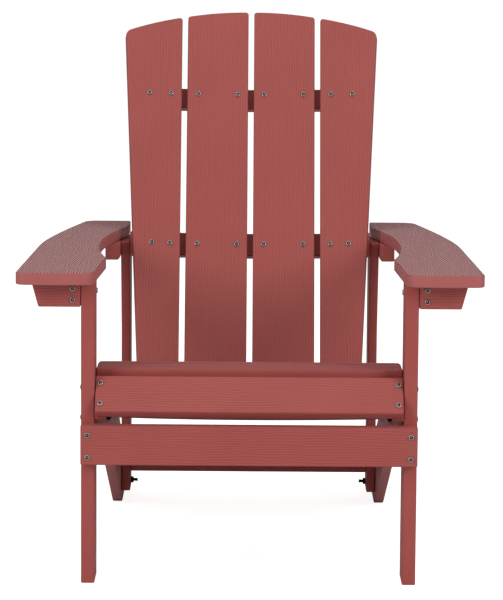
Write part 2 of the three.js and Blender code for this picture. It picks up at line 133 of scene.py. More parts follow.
soft_box("left_soft_box", (-3.4, -3.2, 2.3), (0, 0, 0.45), 1.8, 90)
soft_box("right_soft_box", (3.4, -3.2, 2.3), (0, 0, 0.45), 1.8, 90)
soft_box("top_soft_box", (0.0, -0.9, 4.0), (0, 0, 0.4), 3.0, 42)

CAMERA_PLACE = (-0.0076, -5.3483, 1.1278)
CAMERA_LENS = 187.2
CAMERA_PITCH = 7.574
CAMERA_TURN = -0.114
CAMERA_ROLL = 0.418
camera_data = bpy.data.cameras.new("camera")
camera_data.lens = CAMERA_LENS
camera = bpy.data.objects.new("camera", camera_data)
camera.matrix_world = (
    Matrix.Translation(CAMERA_PLACE)
    @ Matrix.Rotation(math.radians(CAMERA_TURN), 4, "Z")
    @ Matrix.Rotation(math.radians(90 - CAMERA_PITCH), 4, "X")
    @ Matrix.Rotation(math.radians(CAMERA_ROLL), 4, "Z")
)
bpy.context.scene.collection.objects.link(camera)
bpy.context.scene.camera = camera
bpy.context.scene.view_settings.view_transform = "Standard"


# ---- Legs and apron ----------------------------------------------------------------------
# Flat boards of red plastic lumber, sawn to length. A planer leaves their edges eased to a
# 2 mm round. The apron crosses the front of the legs and is screwed to them.
# Outlines are drawn in millimetres.

MM = 0.001
BOARD_THICK = 20
LEG_THICK = 22
EASE = 2.0
EASE_STEPS = 4
GRAIN_SHIFT = np.array([0.83, 0.37, 0.21])  # metres from one board's grain to the next one's


def corners_of(node):
    """A CAD node's lowest and highest corners in millimetres."""
    low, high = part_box(node)
    return np.array(low) / MM, np.array(high) / MM


def unit(vector):
    """A vector divided by its length."""
    return np.asarray(vector, float) / np.linalg.norm(vector)


def arc(x, y, radius, start, end, steps):
    """Points on a circle about (x, y): x + radius cos a, y + radius sin a, a from start to end."""
    angle = np.linspace(start, end, steps + 1)
    return np.stack([x + radius * np.cos(angle), y + radius * np.sin(angle)], 1)


def outline(corners):
    """A closed outline through (x, y, radius) corners. An arc turns each corner and touches both
    of its sides: it starts radius / tan(half the angle) from the corner, and its middle lies
    radius / sin(half the angle) along the line that halves it."""
    points = []
    for i, (x, y, *rounding) in enumerate(corners):
        here = np.array([x, y])
        if not rounding:
            points.append(here[None])
            continue
        radius = rounding[0]
        back = unit(corners[i - 1][:2] - here)
        ahead = unit(corners[(i + 1) % len(corners)][:2] - here)
        half = math.acos(back @ ahead) / 2
        turn = np.sign(ahead[0] * back[1] - ahead[1] * back[0]) * (math.pi - 2 * half)
        middle = here + unit(back + ahead) * radius / math.sin(half)
        first = here + back * radius / math.tan(half) - middle
        start = math.atan2(first[1], first[0])
        steps = max(4, math.ceil(abs(turn) * radius / 1.5))
        points.append(arc(*middle, radius, start, start + turn, steps))
    return np.concatenate(points)


def rectangle(wide, high):
    """A rectangle about (0, 0), its corners rounded a little more than its edges are eased."""
    x, y, corner = wide / 2, high / 2, EASE + 0.4
    return outline([(-x, -y, corner), (x, -y, corner), (x, y, corner), (-x, y, corner)])


def new_piece(name, points, faces, material, nodes):
    """A mesh in metres from points in millimetres, riding on the root in place of CAD nodes."""
    mesh = bpy.data.meshes.new(name)
    mesh.from_pydata((points * MM).tolist(), [], faces)
    mesh.materials.append(material)
    piece = bpy.data.objects.new(name, mesh)
    bpy.context.scene.collection.objects.link(piece)
    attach(piece, "root")
    if nodes:
        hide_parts(*nodes)
    return piece


def board(name, shape, thick, place, across, up, material, grain=0):
    """A board whose outline lies in the plane of two directions about a place, mid-thickness.
    The angle p runs from -90 to 90 degrees round the eased edge. The outline moves in along its
    own mitred normals by ease (1 - cos p), and lies ease sin p past the edge of the flat part of
    the board's side. Both ends close with a flat face. The grain runs at an angle to the
    outline's first direction, in degrees."""
    shape = shape if np.sum(np.cross(shape, np.roll(shape, -1, 0))) > 0 else shape[::-1]
    ahead = np.roll(shape, -1, 0) - shape
    ahead = ahead / np.linalg.norm(ahead, axis=1)[:, None]
    outward = np.stack([ahead[:, 1], -ahead[:, 0]], 1)
    before = np.roll(outward, 1, 0)
    mitre = (outward + before) / (1 + np.sum(outward * before, 1))[:, None]
    quarter = np.linspace(0, math.pi / 2, EASE_STEPS + 1)
    angle = np.concatenate([-quarter[::-1], quarter])
    flat = np.repeat([EASE - thick / 2, thick / 2 - EASE], EASE_STEPS + 1)
    inset = EASE * (1 - np.cos(angle))
    plane = shape[None] - mitre[None] * inset[:, None, None]
    height = np.broadcast_to((flat + EASE * np.sin(angle))[:, None, None], (*plane.shape[:2], 1))
    local = np.concatenate([plane, height], 2).reshape(-1, 3)
    axes = np.stack([across, up, np.cross(across, up)])
    rings, count = len(angle), len(shape)
    index = np.arange(rings * count).reshape(rings, count)
    after = np.roll(index, -1, 1)
    rim = np.stack([index[:-1], after[:-1], after[1:], index[1:]], -1).reshape(-1, 4)
    faces = [*rim.tolist(), index[0, ::-1].tolist(), index[-1].tolist()]
    nodes = [name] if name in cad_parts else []
    piece = new_piece(name + "_board", local @ axes + place, faces, material, nodes)
    smooth = np.ones(len(faces), bool)
    smooth[-2:] = False
    piece.data.polygons.foreach_set("use_smooth", smooth)
    cos, sin = math.cos(math.radians(grain)), math.sin(math.radians(grain))
    turned = local @ np.array([[cos, -sin, 0], [sin, cos, 0], [0, 0, 1]])
    shift = GRAIN_SHIFT * len(bpy.data.meshes)
    coordinates = piece.data.attributes.new("grain", "FLOAT_VECTOR", "POINT")
    coordinates.data.foreach_set("vector", (turned * MM + shift).astype(np.float32).ravel())
    face = piece.data.attributes.new("face", "FLOAT", "POINT")
    face.data.foreach_set("value", np.repeat(np.sin(angle) ** 2, count).astype(np.float32))
    # Peaks in the middle of the eased edge, where the lumber's painted edge shade goes.
    edge = piece.data.attributes.new("edge", "FLOAT", "POINT")
    bend = np.abs(np.sin(2 * angle))
    edge.data.foreach_set("value", np.repeat(bend, count).astype(np.float32))
    return piece


# High-density polyethylene lumber, coloured red through and embossed with a wood grain by a
# roller. It looks like stained wood with a faint waxy shine, and its grain shows most where
# light grazes it. Real grain lines lie 3 to 5 mm apart, and are drawn at 4.3 mm. The fine
# fibres between them are 0.5 mm wide, and are drawn at 1.5 mm so that they show. The colour
# clouds a little, about every 90 mm, as the melt does when it is pressed into boards.
WAVE_PERIOD = 0.314  # a wave texture's bands lie this far apart at a scale of 1
LINE_SPACING = 4.3
LINE_DRIFT = 8.0
FIBRE_WIDE = 1.5
FIBRE_LONG = 30.0
FIBRE_SHARE = 0.3
ALONG_SHARE = 0.3
CLOUD_WIDE = 1000 / 11
EDGE_SHADE = 0.25


def plastic_lumber(name, deep, crest_highlight_share, side_highlight_share, groove_shade_share, crest):
    """The embossed lumber. Its grain is this many millimetres deep. These shares of a crest colour
    are painted on the tops of its lines and on its narrow sides as a painted highlight, and a
    share of painted shade goes in its grooves. The lines are sine bands across the board, which a
    noise stretched along it pushes aside."""
    material, tree, shader = new_material(name)
    place = add(tree, "ShaderNodeAttribute", {"attribute_name": "grain"}).outputs["Vector"]
    stretched = add(tree, "ShaderNodeMapping", {"Scale": (ALONG_SHARE, 1, 1)}, Vector=place)
    lines = add(
        tree, "ShaderNodeTexWave",
        {"bands_direction": "Y", "Scale": WAVE_PERIOD / (LINE_SPACING * MM),
         "Distortion": LINE_DRIFT, "Detail": 3.0, "Detail Scale": 0.4,
         "Detail Roughness": 0.55},
        Vector=stretched.outputs[0],
    )
    fine = add(
        tree, "ShaderNodeMapping",
        {"Scale": (1 / (FIBRE_LONG * MM), 1 / (FIBRE_WIDE * MM), 1 / (FIBRE_WIDE * MM))},
        Vector=place,
    )
    fibres = add(
        tree, "ShaderNodeTexNoise", {"Scale": 1.0, "Detail": 2.0}, Vector=fine.outputs[0]
    )
    relief = add(
        tree, "ShaderNodeMix", {"data_type": "FLOAT", 0: FIBRE_SHARE},
        i2=lines.outputs["Fac"], i3=fibres.outputs["Fac"],
    )
    cloud = add(
        tree, "ShaderNodeTexNoise", {"Scale": 1 / (CLOUD_WIDE * MM), "Detail": 2.0},
        Vector=place,
    )
    ground = add(
        tree, "ShaderNodeMix", {"data_type": "RGBA", 6: srgb("#983F3A"), 7: srgb("#A54741")},
        i0=cloud.outputs["Fac"],
    )
    face = add(tree, "ShaderNodeAttribute", {"attribute_name": "face"})
    pressed = add(
        tree, "ShaderNodeMath", {"operation": "MULTIPLY"},
        i0=relief.outputs[0], i1=face.outputs["Fac"],
    )
    side = add(
        tree, "ShaderNodeMapRange", {"To Min": side_highlight_share, "To Max": 0.0}, Value=face.outputs["Fac"]
    )
    share = add(
        tree, "ShaderNodeMath", {"operation": "MULTIPLY_ADD", 1: crest_highlight_share},
        i0=pressed.outputs[0], i2=side.outputs[0],
    )
    # The grain's crests and the boards' narrow sides take the pale crest colour: a painted
    # highlight.
    crest_highlighted = add(
        tree, "ShaderNodeMix", {"data_type": "RGBA", 7: srgb(crest)},
        i0=share.outputs[0], i6=ground.outputs[2],
    )
    # The grain's grooves are painted darker: a painted shade in its hollows.
    low_part = add(
        tree, "ShaderNodeMapRange",
        {"From Min": 0.25, "From Max": 0.6, "To Min": groove_shade_share, "To Max": 0.0},
        Value=relief.outputs[0],
    )
    shade = add(
        tree, "ShaderNodeMath", {"operation": "MULTIPLY"},
        i0=low_part.outputs[0], i1=face.outputs["Fac"],
    )
    groove_shaded = add(
        tree, "ShaderNodeMix", {"data_type": "RGBA", 7: srgb("#5E2624")},
        i0=shade.outputs[0], i6=crest_highlighted.outputs[2],
    )
    # The middle of each eased edge is painted darker: a painted shade along the boards' outlines.
    edge = add(tree, "ShaderNodeAttribute", {"attribute_name": "edge"})
    painted_edge_shade = add(
        tree, "ShaderNodeMath", {"operation": "MULTIPLY", 1: EDGE_SHADE},
        i0=edge.outputs["Fac"],
    )
    colour = add(
        tree, "ShaderNodeMix", {"data_type": "RGBA", 7: srgb("#6E302D")},
        i0=painted_edge_shade.outputs[0], i6=groove_shaded.outputs[2],
    )
    gloss = add(
        tree, "ShaderNodeMapRange", {"To Min": 0.6, "To Max": 0.46}, Value=relief.outputs[0]
    )
    bump = add(
        tree, "ShaderNodeBump", {"Strength": 1.0, "Distance": deep * MM},
        Height=pressed.outputs[0],
    )
    tree.links.new(colour.outputs[2], shader.inputs["Base Color"])
    tree.links.new(gloss.outputs[0], shader.inputs["Roughness"])
    tree.links.new(bump.outputs[0], shader.inputs["Normal"])
    shader.inputs["IOR"].default_value = 1.5
    shader.inputs["Sheen Weight"].default_value = 0.12
    shader.inputs["Sheen Roughness"].default_value = 0.35
    shader.inputs["Sheen Tint"].default_value = srgb("#F2E6F2")
    return material


LUMBER = plastic_lumber("red_HDPE_lumber_wood_grain", 0.2, 0.32, 0.1, 0.12, "#B4625A")
SIDES = {"left": -1, "right": 1}
ACROSS = np.array([1.0, 0, 0])
BACKWARD = np.array([0, 1.0, 0])
UP = np.array([0, 0, 1.0])

low, high = corners_of("apron")
FACE = low[1]
board(
    "apron", rectangle(high[0] - low[0], high[2] - low[2]), BOARD_THICK,
    (low + high) / 2, ACROSS, UP, LUMBER,
)
for side_name in SIDES:
    low, high = corners_of("leg_" + side_name)
    board(
        "leg_" + side_name, rectangle(high[1] - low[1], high[2] - low[2]), LEG_THICK,
        (low + high) / 2, BACKWARD, UP, LUMBER, grain=90,
    )


# ---- Stringers ---------------------------------------------------------------------------
# Two long boards that carry the seat and come down behind as the rear feet. They are sawn from
# wide lumber: the top follows the seat's bend and the nose slants to fit the front slat.

RAKE = math.radians(21.5)
SEAT_TOP = 348.0
SEAT_RADIUS = 600.0
FIRST_SLAT = 88.5
SLAT_WIDTH = 65.0
SLAT_GAP = 8.5
CLEARANCE = 0.3
STRINGER_THICK = 18
STRINGER_DEPTH = 119.0
NOSE_TILT = math.radians(35)
FRONT_SLAT_GAP = 1.5
NOSE_CORNER = FIRST_SLAT - SLAT_WIDTH / 2 - FRONT_SLAT_GAP
SAWN_CORNER = 3.0
TOE_ROUND = 6.0
HEEL_ROUND = 4.0
REAR_ROUND = 8.0


def seat_at(distance):
    """A point of the seat's top, and its slope, at a distance along it from the first slat.
    It bends down round the seat's radius until the slope is the rake, and then runs straight."""
    slope = min(distance / SEAT_RADIUS, RAKE)
    beyond = max(distance - SEAT_RADIUS * RAKE, 0)
    y = FIRST_SLAT + SEAT_RADIUS * math.sin(slope) + beyond * math.cos(RAKE)
    z = SEAT_TOP - SEAT_RADIUS * (1 - math.cos(slope)) - beyond * math.sin(RAKE)
    return y, z, slope


bed = arc(
    FIRST_SLAT, SEAT_TOP - SEAT_RADIUS, SEAT_RADIUS - BOARD_THICK - CLEARANCE,
    math.pi / 2 - RAKE, math.pi / 2, 24,
)
top_at_front = bed[0, 1] + math.tan(RAKE) * bed[0, 0]
under_at_front = top_at_front - STRINGER_DEPTH / math.cos(RAKE)
toe = under_at_front / math.tan(RAKE)
slat_under = SEAT_TOP - BOARD_THICK
nose_top = NOSE_CORNER + CLEARANCE / math.cos(NOSE_TILT)
nose_tall = slat_under - under_at_front + math.tan(RAKE) * nose_top
nose_fall = nose_tall / (1 + math.tan(RAKE) * math.tan(NOSE_TILT))
low, high = corners_of("stringer_left")
rear_end = high[1] - FACE
stringer_shape = outline([
    (toe, 0, TOE_ROUND),
    (rear_end, 0, HEEL_ROUND),
    (rear_end, top_at_front - math.tan(RAKE) * rear_end, REAR_ROUND),
    *bed,
    (nose_top, slat_under - CLEARANCE, SAWN_CORNER),
    (nose_top - nose_fall * math.tan(NOSE_TILT), slat_under - nose_fall, TOE_ROUND),
])
for side_name in SIDES:
    low, high = corners_of("stringer_" + side_name)
    place = np.array([(low[0] + high[0]) / 2, FACE, 0])
    board(
        "stringer_" + side_name, stringer_shape, STRINGER_THICK, place, BACKWARD, UP, LUMBER
    )


# ---- Front frame fasteners ---------------------------------------------------------------
# Stainless steel pan-head screws and dome-head bolts. A header forms their heads and presses
# the hexagon recess, and their threads are rolled.

SCREW_HEAD = 4.5  # heads, shanks, recess and pin by their radius
SCREW_TALL = 2.6
SCREW_SHANK = 2.1
SCREW_LONG = 40.0
RECESS = 2.6
RECESS_DEEP = 1.8
PIN = 0.9
BOLT_HEAD = 6.0
BOLT_TALL = 3.0
BOLT_SHANK = 3.0
BOLT_THREAD = 22.0
NUT_HALF = 5.0
NUT_TALL = 5.0
TURN_STEPS = 36
SPOT_WIDE = 10 / 9


def fastener_steel(name, dull, bright, smooth, rough):
    """Cold-formed steel between two tones and two roughnesses, which a tumbling barrel leaves in
    spots about a millimetre wide. The recess is painted near black, a painted shade."""
    material, tree, shader = new_material(name)
    where = add(tree, "ShaderNodeTexCoord", {}).outputs["Object"]
    tumbled = add(
        tree, "ShaderNodeTexNoise", {"Scale": 1 / (SPOT_WIDE * MM), "Detail": 2.0},
        Vector=where,
    )
    tone = add(
        tree, "ShaderNodeMix", {"data_type": "RGBA", 6: srgb(dull), 7: srgb(bright)},
        i0=tumbled.outputs["Fac"],
    )
    # The recess attribute paints the recess near black: a painted shade for its hollow.
    recess = add(tree, "ShaderNodeAttribute", {"attribute_name": "recess"})
    painted_recess_shade = add(
        tree, "ShaderNodeMix", {"data_type": "RGBA", 7: srgb("#1A1210")},
        i0=recess.outputs["Fac"], i6=tone.outputs[2],
    )
    satin = add(
        tree, "ShaderNodeMapRange", {"To Min": smooth, "To Max": rough},
        Value=tumbled.outputs["Fac"],
    )
    tree.links.new(painted_recess_shade.outputs[2], shader.inputs["Base Color"])
    tree.links.new(satin.outputs[0], shader.inputs["Roughness"])
    shader.inputs["Metallic"].default_value = 1.0
    return material


# The screws are austenitic stainless steel, bright but softly brushed. The bolts and nuts are
# carbon steel with a black zinc plate, nearly black with a dull gleam.
STAINLESS = fastener_steel("stainless_steel_cold_formed", "#A9A3A0", "#CBC6C3", 0.25, 0.45)
BLACK_ZINC = fastener_steel("black_zinc_plated_steel", "#1C1A1A", "#312E2D", 0.3, 0.5)


def hexagon(angle):
    """The radius of a hexagon with a half width of 1: 1 / cos(angle from its nearest flat)."""
    return 1 / np.cos((angle + math.pi / 6) % (math.pi / 3) - math.pi / 6)


def turned(profile, place, outward, closed=False):
    """Points, faces and painted recess shade of a profile turned about an axis. Each row of the
    profile is a radius, a height, how hexagonal its ring is and how much painted shade it takes,
    so r = radius (1 + h (hexagon - 1)). A profile that isn't closed starts and ends on the axis,
    where its points are meant to merge into one at each end."""
    profile = np.array(profile, float)
    angle = np.arange(TURN_STEPS) * 2 * math.pi / TURN_STEPS
    radius = profile[:, :1] * (1 + profile[:, 2:3] * (hexagon(angle) - 1))
    dark = np.repeat(profile[:, 3], TURN_STEPS)
    height = np.broadcast_to(profile[:, 1:2], radius.shape)
    local = np.stack([radius * np.cos(angle), radius * np.sin(angle), height], -1)
    index = np.arange(radius.size).reshape(radius.shape)
    near = index if closed else index[:-1]
    far = np.roll(index, -1, 0) if closed else index[1:]
    quads = np.stack([near, np.roll(near, -1, 1), np.roll(far, -1, 1), far], -1).reshape(-1, 4)
    local = local.reshape(-1, 3)
    if not closed:
        poles = [[0, 0, profile[0, 1]], [0, 0, profile[-1, 1]]]
        local = np.concatenate([local[TURN_STEPS:-TURN_STEPS], poles])
        dark = np.append(dark[TURN_STEPS:-TURN_STEPS], profile[[0, -1], 3])
        # Known fault: the second line below also catches the number that the first one gives, so
        # the first end's fan runs to the last end's point. The screws' and bolts' inner ends are
        # a deep cone for it, not flat, and the first end's point is left over.
        quads = np.where(quads < TURN_STEPS, len(local) - 2 + TURN_STEPS, quads)
        quads = np.where(quads >= radius.size - TURN_STEPS, len(local) - 1 + TURN_STEPS, quads)
        quads = quads - TURN_STEPS
    side = unit(np.cross(outward, [0.31, 0.87, 0.38]))
    axes = np.stack([side, np.cross(outward, side), outward])
    return local @ axes + place, [list(dict.fromkeys(quad)) for quad in quads.tolist()], dark


def thread(radius, top, bottom, pitch):
    """Rows of a rolled thread: crests and roots half a pitch apart, roots a third of it deep."""
    count = int((top - bottom) / pitch)
    height = top - np.arange(2 * count + 1) * pitch / 2
    depth = np.where(np.arange(2 * count + 1) % 2, pitch / 3, 0)
    return [(r, z, 0, 0) for r, z in zip(radius - depth, height)]


SHANK = [
    (0, -SCREW_LONG, 0, 0),
    *thread(SCREW_SHANK, -5.0, -SCREW_LONG + 5, 1.6)[::-1],
    (SCREW_SHANK, -4.0, 0, 0),
]
# The fourth column darkens the recess: a painted shade for its hollow.
SOCKET = [
    (RECESS + 0.5, 0.0, 0, 0.1),
    (RECESS, -0.1, 1, 0.8),
    (RECESS * 0.97, -RECESS_DEEP, 1, 1),
    (PIN, -RECESS_DEEP, 0, 1),
    (PIN, -0.5, 0, 0.2),
    (PIN * 0.6, -0.2, 0, 0),
    (0, -0.2, 0, 0),
]
pan = np.linspace(0, math.pi / 2, 7)[:-1]
SCREW_PROFILE = [
    *SHANK,
    (SCREW_SHANK, -CLEARANCE, 0, 0),
    (SCREW_HEAD - 0.3, -CLEARANCE, 0, 0),
    *[
        (SCREW_HEAD - 1.1 * (1 - math.cos(a)), 0.6 + (SCREW_TALL - 0.6) * math.sin(a), 0, 0)
        for a in pan
    ],
    *[(r, SCREW_TALL + z, h, dark) for r, z, h, dark in SOCKET],
]
NUT_PROFILE = [
    (BOLT_SHANK, -NUT_TALL, 0, 0),
    (NUT_HALF - 0.6, -NUT_TALL, 0, 0),
    (NUT_HALF, -NUT_TALL + 0.5, 1, 0),
    (NUT_HALF, -0.5, 1, 0),
    (NUT_HALF - 0.6, 0, 0, 0),
    (BOLT_SHANK, 0, 0, 0),
]


def bolt_profile(long):
    """A dome-head bolt: a quarter ellipse over a plain shank that ends in a thread."""
    dome = np.linspace(0, math.pi / 2, 9)[:-1]
    return [
        (0, -long, 0, 0),
        *thread(BOLT_SHANK, -long + BOLT_THREAD, -long, 1.5)[::-1],
        (BOLT_SHANK, -CLEARANCE, 0, 0),
        (BOLT_HEAD, -CLEARANCE, 0, 0),
        *[(BOLT_HEAD * math.cos(a), BOLT_TALL * math.sin(a), 0, 0) for a in dome],
        (0, BOLT_TALL, 0, 0),
    ]


def far_end(node, outward):
    """The middle of a CAD fastener's inner end: the mean of its lowest points along its axis."""
    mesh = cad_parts[node].data
    points = np.zeros(len(mesh.vertices) * 3, np.float32)
    mesh.vertices.foreach_get("co", points)
    points = np.unique(np.round(points.reshape(-1, 3) / MM, 2), axis=0)
    along = points @ outward
    return points[along < along.min() + 0.05].mean(0)


def steel_piece(name, parts, material, nodes):
    """One piece of turned parts, each a place, an outward direction and a profile."""
    points, faces, dark = [], [], []
    for place, outward, profile, closed in parts:
        start = sum(len(part) for part in points)
        more, own, shade = turned(profile, place, outward, closed)
        points.append(more)
        dark.append(shade)
        faces.extend([[start + corner for corner in face] for face in own])
    piece = new_piece(name, np.concatenate(points), faces, material, nodes)
    piece.data.polygons.foreach_set("use_smooth", np.ones(len(faces), bool))
    piece.data.set_sharp_from_angle(angle=math.radians(40))
    recess = piece.data.attributes.new("recess", "FLOAT", "POINT")
    recess.data.foreach_set("value", np.concatenate(dark).astype(np.float32))


def fastener(node, outward, profile, long, material, closed=False):
    """A turned fastener in place of a CAD node, with its seat this far out from its end."""
    place = far_end(node, outward) + outward * long
    steel_piece(node + "_turned", [(place, outward, profile, closed)], material, [node])


def bolt_and_nut(node, outward):
    """A bolt as long as its CAD node, and its nut."""
    low, high = corners_of(node)
    long = np.max(np.abs((high - low) * outward)) - BOLT_TALL
    fastener(node, outward, bolt_profile(long), long, BLACK_ZINC)
    fastener(node + "_nut", outward, NUT_PROFILE, NUT_TALL, BLACK_ZINC, closed=True)


for side_name, side in SIDES.items():
    for level in ("upper", "lower"):
        apron_screw = f"apron_screw_{level}_{side_name}"
        fastener(apron_screw, -BACKWARD, SCREW_PROFILE, SCREW_LONG, STAINLESS)
        bolt_and_nut(f"leg_bolt_{level}_{side_name}", side * ACROSS)


# ---- Uprights, stretcher and rear bolts --------------------------------------------------
# Two upright boards stand inside the stringers and flare forward under the arms. A stretcher
# joins them low down, and two bolts hold each upright to its stringer.

UPRIGHT_THICK = 16
UPRIGHT_DEEP = 75.0
UPRIGHT_FLARE = 45.0
FLARE_FROM = 330.0
FLARE_ROUND = 60.0

low, high = corners_of("upright_left")
upright_rear = high[1] - FACE
upright_front = upright_rear - UPRIGHT_DEEP
upright_shape = outline([
    (upright_front, low[2], SAWN_CORNER),
    (upright_rear, low[2], SAWN_CORNER),
    (upright_rear, high[2], SAWN_CORNER),
    (upright_front - UPRIGHT_FLARE, high[2], SAWN_CORNER),
    (upright_front, FLARE_FROM, FLARE_ROUND),
])
for side_name, side in SIDES.items():
    low, high = corners_of("upright_" + side_name)
    place = np.array([(low[0] + high[0]) / 2, FACE, 0])
    board(
        "upright_" + side_name, upright_shape, UPRIGHT_THICK, place, BACKWARD, UP, LUMBER,
        grain=90,
    )
    for level in ("upper", "lower"):
        bolt_and_nut(f"rear_bolt_{level}_{side_name}", side * ACROSS)

low, high = corners_of("rear_stretcher")
board(
    "rear_stretcher", rectangle(high[0] - low[0], high[2] - low[2]), BOARD_THICK,
    (low + high) / 2, ACROSS, UP, LUMBER,
)


# ---- Seat slats --------------------------------------------------------------------------
# Six flat slats lie across the stringers, and a seventh closes the seat's front edge. Two
# screws hold each end of a slat, sunk until their heads are level with its top.

SEAT_SLATS = 6
SLAT_SCREW_IN = 8.3
SLAT_SCREW_OFF_MIDDLE = 18.5
FLUSH = 0.15
FLUSH_PROFILE = [
    *SHANK,
    (SCREW_HEAD - 0.5, -0.6, 0, 0),
    (SCREW_HEAD - 0.5, 0.0, 0, 0),
    (SCREW_HEAD - 0.6, FLUSH, 0, 0),
    *[(r, FLUSH + z, h, dark) for r, z, h, dark in SOCKET],
]

for number in range(SEAT_SLATS):
    slope = seat_at(number * (SLAT_WIDTH + SLAT_GAP))[2]
    name = f"seat_slat_{number + 1}"
    low, high = corners_of(name)
    middle = (low + high) / 2
    back = np.array([0, math.cos(slope), -math.sin(slope)])
    normal = np.cross(ACROSS, back)
    slat = rectangle(high[0] - low[0], SLAT_WIDTH)
    board(name, slat, BOARD_THICK, middle, ACROSS, back, LUMBER)
    screw_x = (high[0] - low[0]) / 2 - SLAT_SCREW_IN
    top = middle + normal * BOARD_THICK / 2
    heads = [
        (top + ACROSS * x + back * y, normal, FLUSH_PROFILE, False)
        for x in (-screw_x, screw_x)
        for y in (-SLAT_SCREW_OFF_MIDDLE, SLAT_SCREW_OFF_MIDDLE)
    ]
    steel_piece(name + "_screws", heads, STAINLESS, [])

low, high = corners_of("seat_front_slat")
slant = np.array([0, math.sin(NOSE_TILT), math.cos(NOSE_TILT)])
front_normal = np.cross(ACROSS, slant)
board(
    "seat_front_slat", rectangle(high[0] - low[0], SLAT_WIDTH), BOARD_THICK,
    (low + high) / 2, ACROSS, slant, LUMBER,
)
for side_name in SIDES:
    for level in ("upper", "lower"):
        slat_screw = f"front_slat_screw_{level}_{side_name}"
        fastener(slat_screw, front_normal, SCREW_PROFILE, SCREW_LONG, STAINLESS)


# ---- Back --------------------------------------------------------------------------------
# Four upright slats, set round a slight hollow and cut to one arch at the top, are screwed to
# three rails behind them. Each rail is sawn from a thick board to the hollow's curve.

HOLLOW_RADIUS = 1650.0
BACK_GAP = 10.0
INNER_WIDTH = 110.0
OUTER_WIDTH = 71.0
OUTER_SPLAY = 0.048
BACK_BOTTOM = -36.5
BACK_TOP = 714.8
ARCH_RADIUS = 640.0
SEAT_TO_BACK = 24.0
CROWN_ROUND = 5.0
SHOULDER_ROUND = 14.0
RAILS = {  # half length, place up the back, height, depth
    "lower": (231.4, -15.5, 42.0, 20.0),
    "middle": (215.1, 281.2, 42.0, 20.0),
    "upper": (190.6, 554.8, 37.0, 20.0),
}
BACK_SCREWS = {  # distances across from the middle of the back
    "lower": (24.3, 95.0, 143.0, 172.0),
    "middle": (24.3, 95.0, 143.5, 176.0),
    "upper": (24.3, 95.0, 144.5, 183.0),
}
SCREW_LINE = {"lower": -15.5, "middle": 277.0, "upper": 557.0}

last_slat = (SEAT_SLATS - 1) * (SLAT_WIDTH + SLAT_GAP)
foot_y, foot_z, _ = seat_at(last_slat + SLAT_WIDTH / 2 + SEAT_TO_BACK)
BACK_FOOT = np.array([0, FACE + foot_y, foot_z])
LEAN_BACK = np.array([0, math.cos(RAKE), -math.sin(RAKE)])
LEAN_UP = np.array([0, math.sin(RAKE), math.cos(RAKE)])


def mirrored(corners, side):
    """The same corners with x times the side, which is -1 or 1."""
    return [(side * x, *rest) for x, *rest in corners]


def arch(x):
    """The height of the slats' upper ends up the back: a circle's arc under the crown."""
    return BACK_TOP - ARCH_RADIUS + np.sqrt(ARCH_RADIUS**2 - x**2)


def back_slat(name, side, inner, width, splay, corner):
    """A slat square to the hollow's radius at its middle, its inner edge straight and its outer
    edge drifting out by the splay for each millimetre up the back. The arch's points next to
    the rounded corners are left out, to give the corners room."""
    turn = (inner + width / 2) / HOLLOW_RADIUS
    middle, lean = HOLLOW_RADIUS * math.sin(turn), math.cos(turn)
    near = -width / 2
    side_end = width / 2 + splay * arch(middle + (width / 2 + splay * BACK_TOP) * lean)
    top = np.linspace(side_end, near, 25)
    crown = np.stack([top, arch(middle + top * lean)], 1)
    shape = outline(mirrored([
        (near, BACK_BOTTOM, SAWN_CORNER),
        (width / 2 + splay * BACK_BOTTOM, BACK_BOTTOM, SAWN_CORNER),
        (*crown[0], corner),
        *crown[crown[:, 0] < side_end - corner * 1.6][:-2],
        (*crown[-1], CROWN_ROUND),
    ], side))
    across = ACROSS * lean - LEAN_BACK * side * math.sin(turn)
    inward = ACROSS * side * math.sin(turn) + LEAN_BACK * lean
    place = BACK_FOOT + ACROSS * side * middle + LEAN_BACK * HOLLOW_RADIUS * (lean - 1)
    board(
        name, shape, BOARD_THICK, place + inward * BOARD_THICK / 2, across, LEAN_UP, LUMBER,
        grain=90,
    )
    lifted = place - inward * CLEARANCE
    heads = [
        (lifted + across * (side * (x - middle) / lean) + LEAN_UP * SCREW_LINE[rail], -inward,
         SCREW_PROFILE, False)
        for rail, row in BACK_SCREWS.items()
        for x in row
        if inner < x < inner + width
    ]
    steel_piece(name + "_screws", heads, STAINLESS, [])


face_radius = math.hypot(HOLLOW_RADIUS + BOARD_THICK, INNER_WIDTH / 2) + CLEARANCE
for rail, (half, height, tall, deep) in RAILS.items():
    curves = []
    for radius in (face_radius + deep, face_radius):
        spread = math.asin(half / radius)
        curves.append(
            arc(0, -HOLLOW_RADIUS, radius, math.pi / 2 - spread, math.pi / 2 + spread, 48)
        )
    rear, face = curves[0], curves[1][::-1]
    shape = outline([
        (*rear[0], SAWN_CORNER),
        *rear[2:-2],
        (*rear[-1], SAWN_CORNER),
        (*face[0], SAWN_CORNER),
        *face[2:-2],
        (*face[-1], SAWN_CORNER),
    ])
    board(
        "back_rail_" + rail, shape, tall, BACK_FOOT + LEAN_UP * height, ACROSS, LEAN_BACK,
        LUMBER,
    )
for side_name, side in SIDES.items():
    back_slat("back_slat_inner_" + side_name, side, BACK_GAP / 2, INNER_WIDTH, 0, CROWN_ROUND)
    outer = 1.5 * BACK_GAP + INNER_WIDTH
    back_slat(
        "back_slat_outer_" + side_name, side, outer, OUTER_WIDTH, OUTER_SPLAY, SHOULDER_ROUND
    )


# ---- Arm brackets and cleats -------------------------------------------------------------
# A bracket stands outside each leg behind the apron, screwed to a cleat that lies along the
# leg. A longer cleat lies outside each upright. All three carry the arm.

BRACKET_FOOT = 68.5
BRACKET_CORNER = 2.5
FRONT_CLEAT_WIDE = 26
CHAMFER = 4.0

